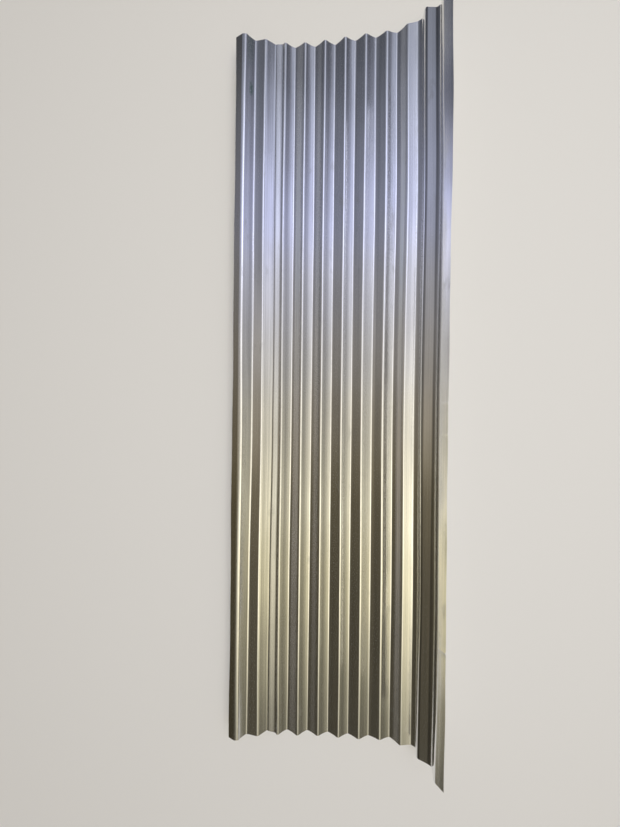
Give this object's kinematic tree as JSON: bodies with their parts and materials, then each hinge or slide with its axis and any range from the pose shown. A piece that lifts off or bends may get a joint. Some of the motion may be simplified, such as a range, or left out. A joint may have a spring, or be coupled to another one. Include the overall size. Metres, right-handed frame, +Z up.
{
  "type": "corrugated metal sheet",
  "caption": "Bare metal roofing sheet, roll-formed to a narrow rounded trapezoidal wave; lies flat with both long edges sprung up.",
  "frame": {"origin": "middle of the bounding box, on the floor that the sheet lies on", "axes": "+X across the waves towards the edge that has sprung up most, +Y along the waves (the sheet's length), +Z up"},
  "size_m": [0.696, 2.44, 0.1458],
  "materials": {
    "bare_sheet": "mill finish, satin, with rolling streaks along the waves"
  },
  "bodies": {
    "root": {"corrugated_sheet": "bare_sheet"}
  },
  "joints": []
}
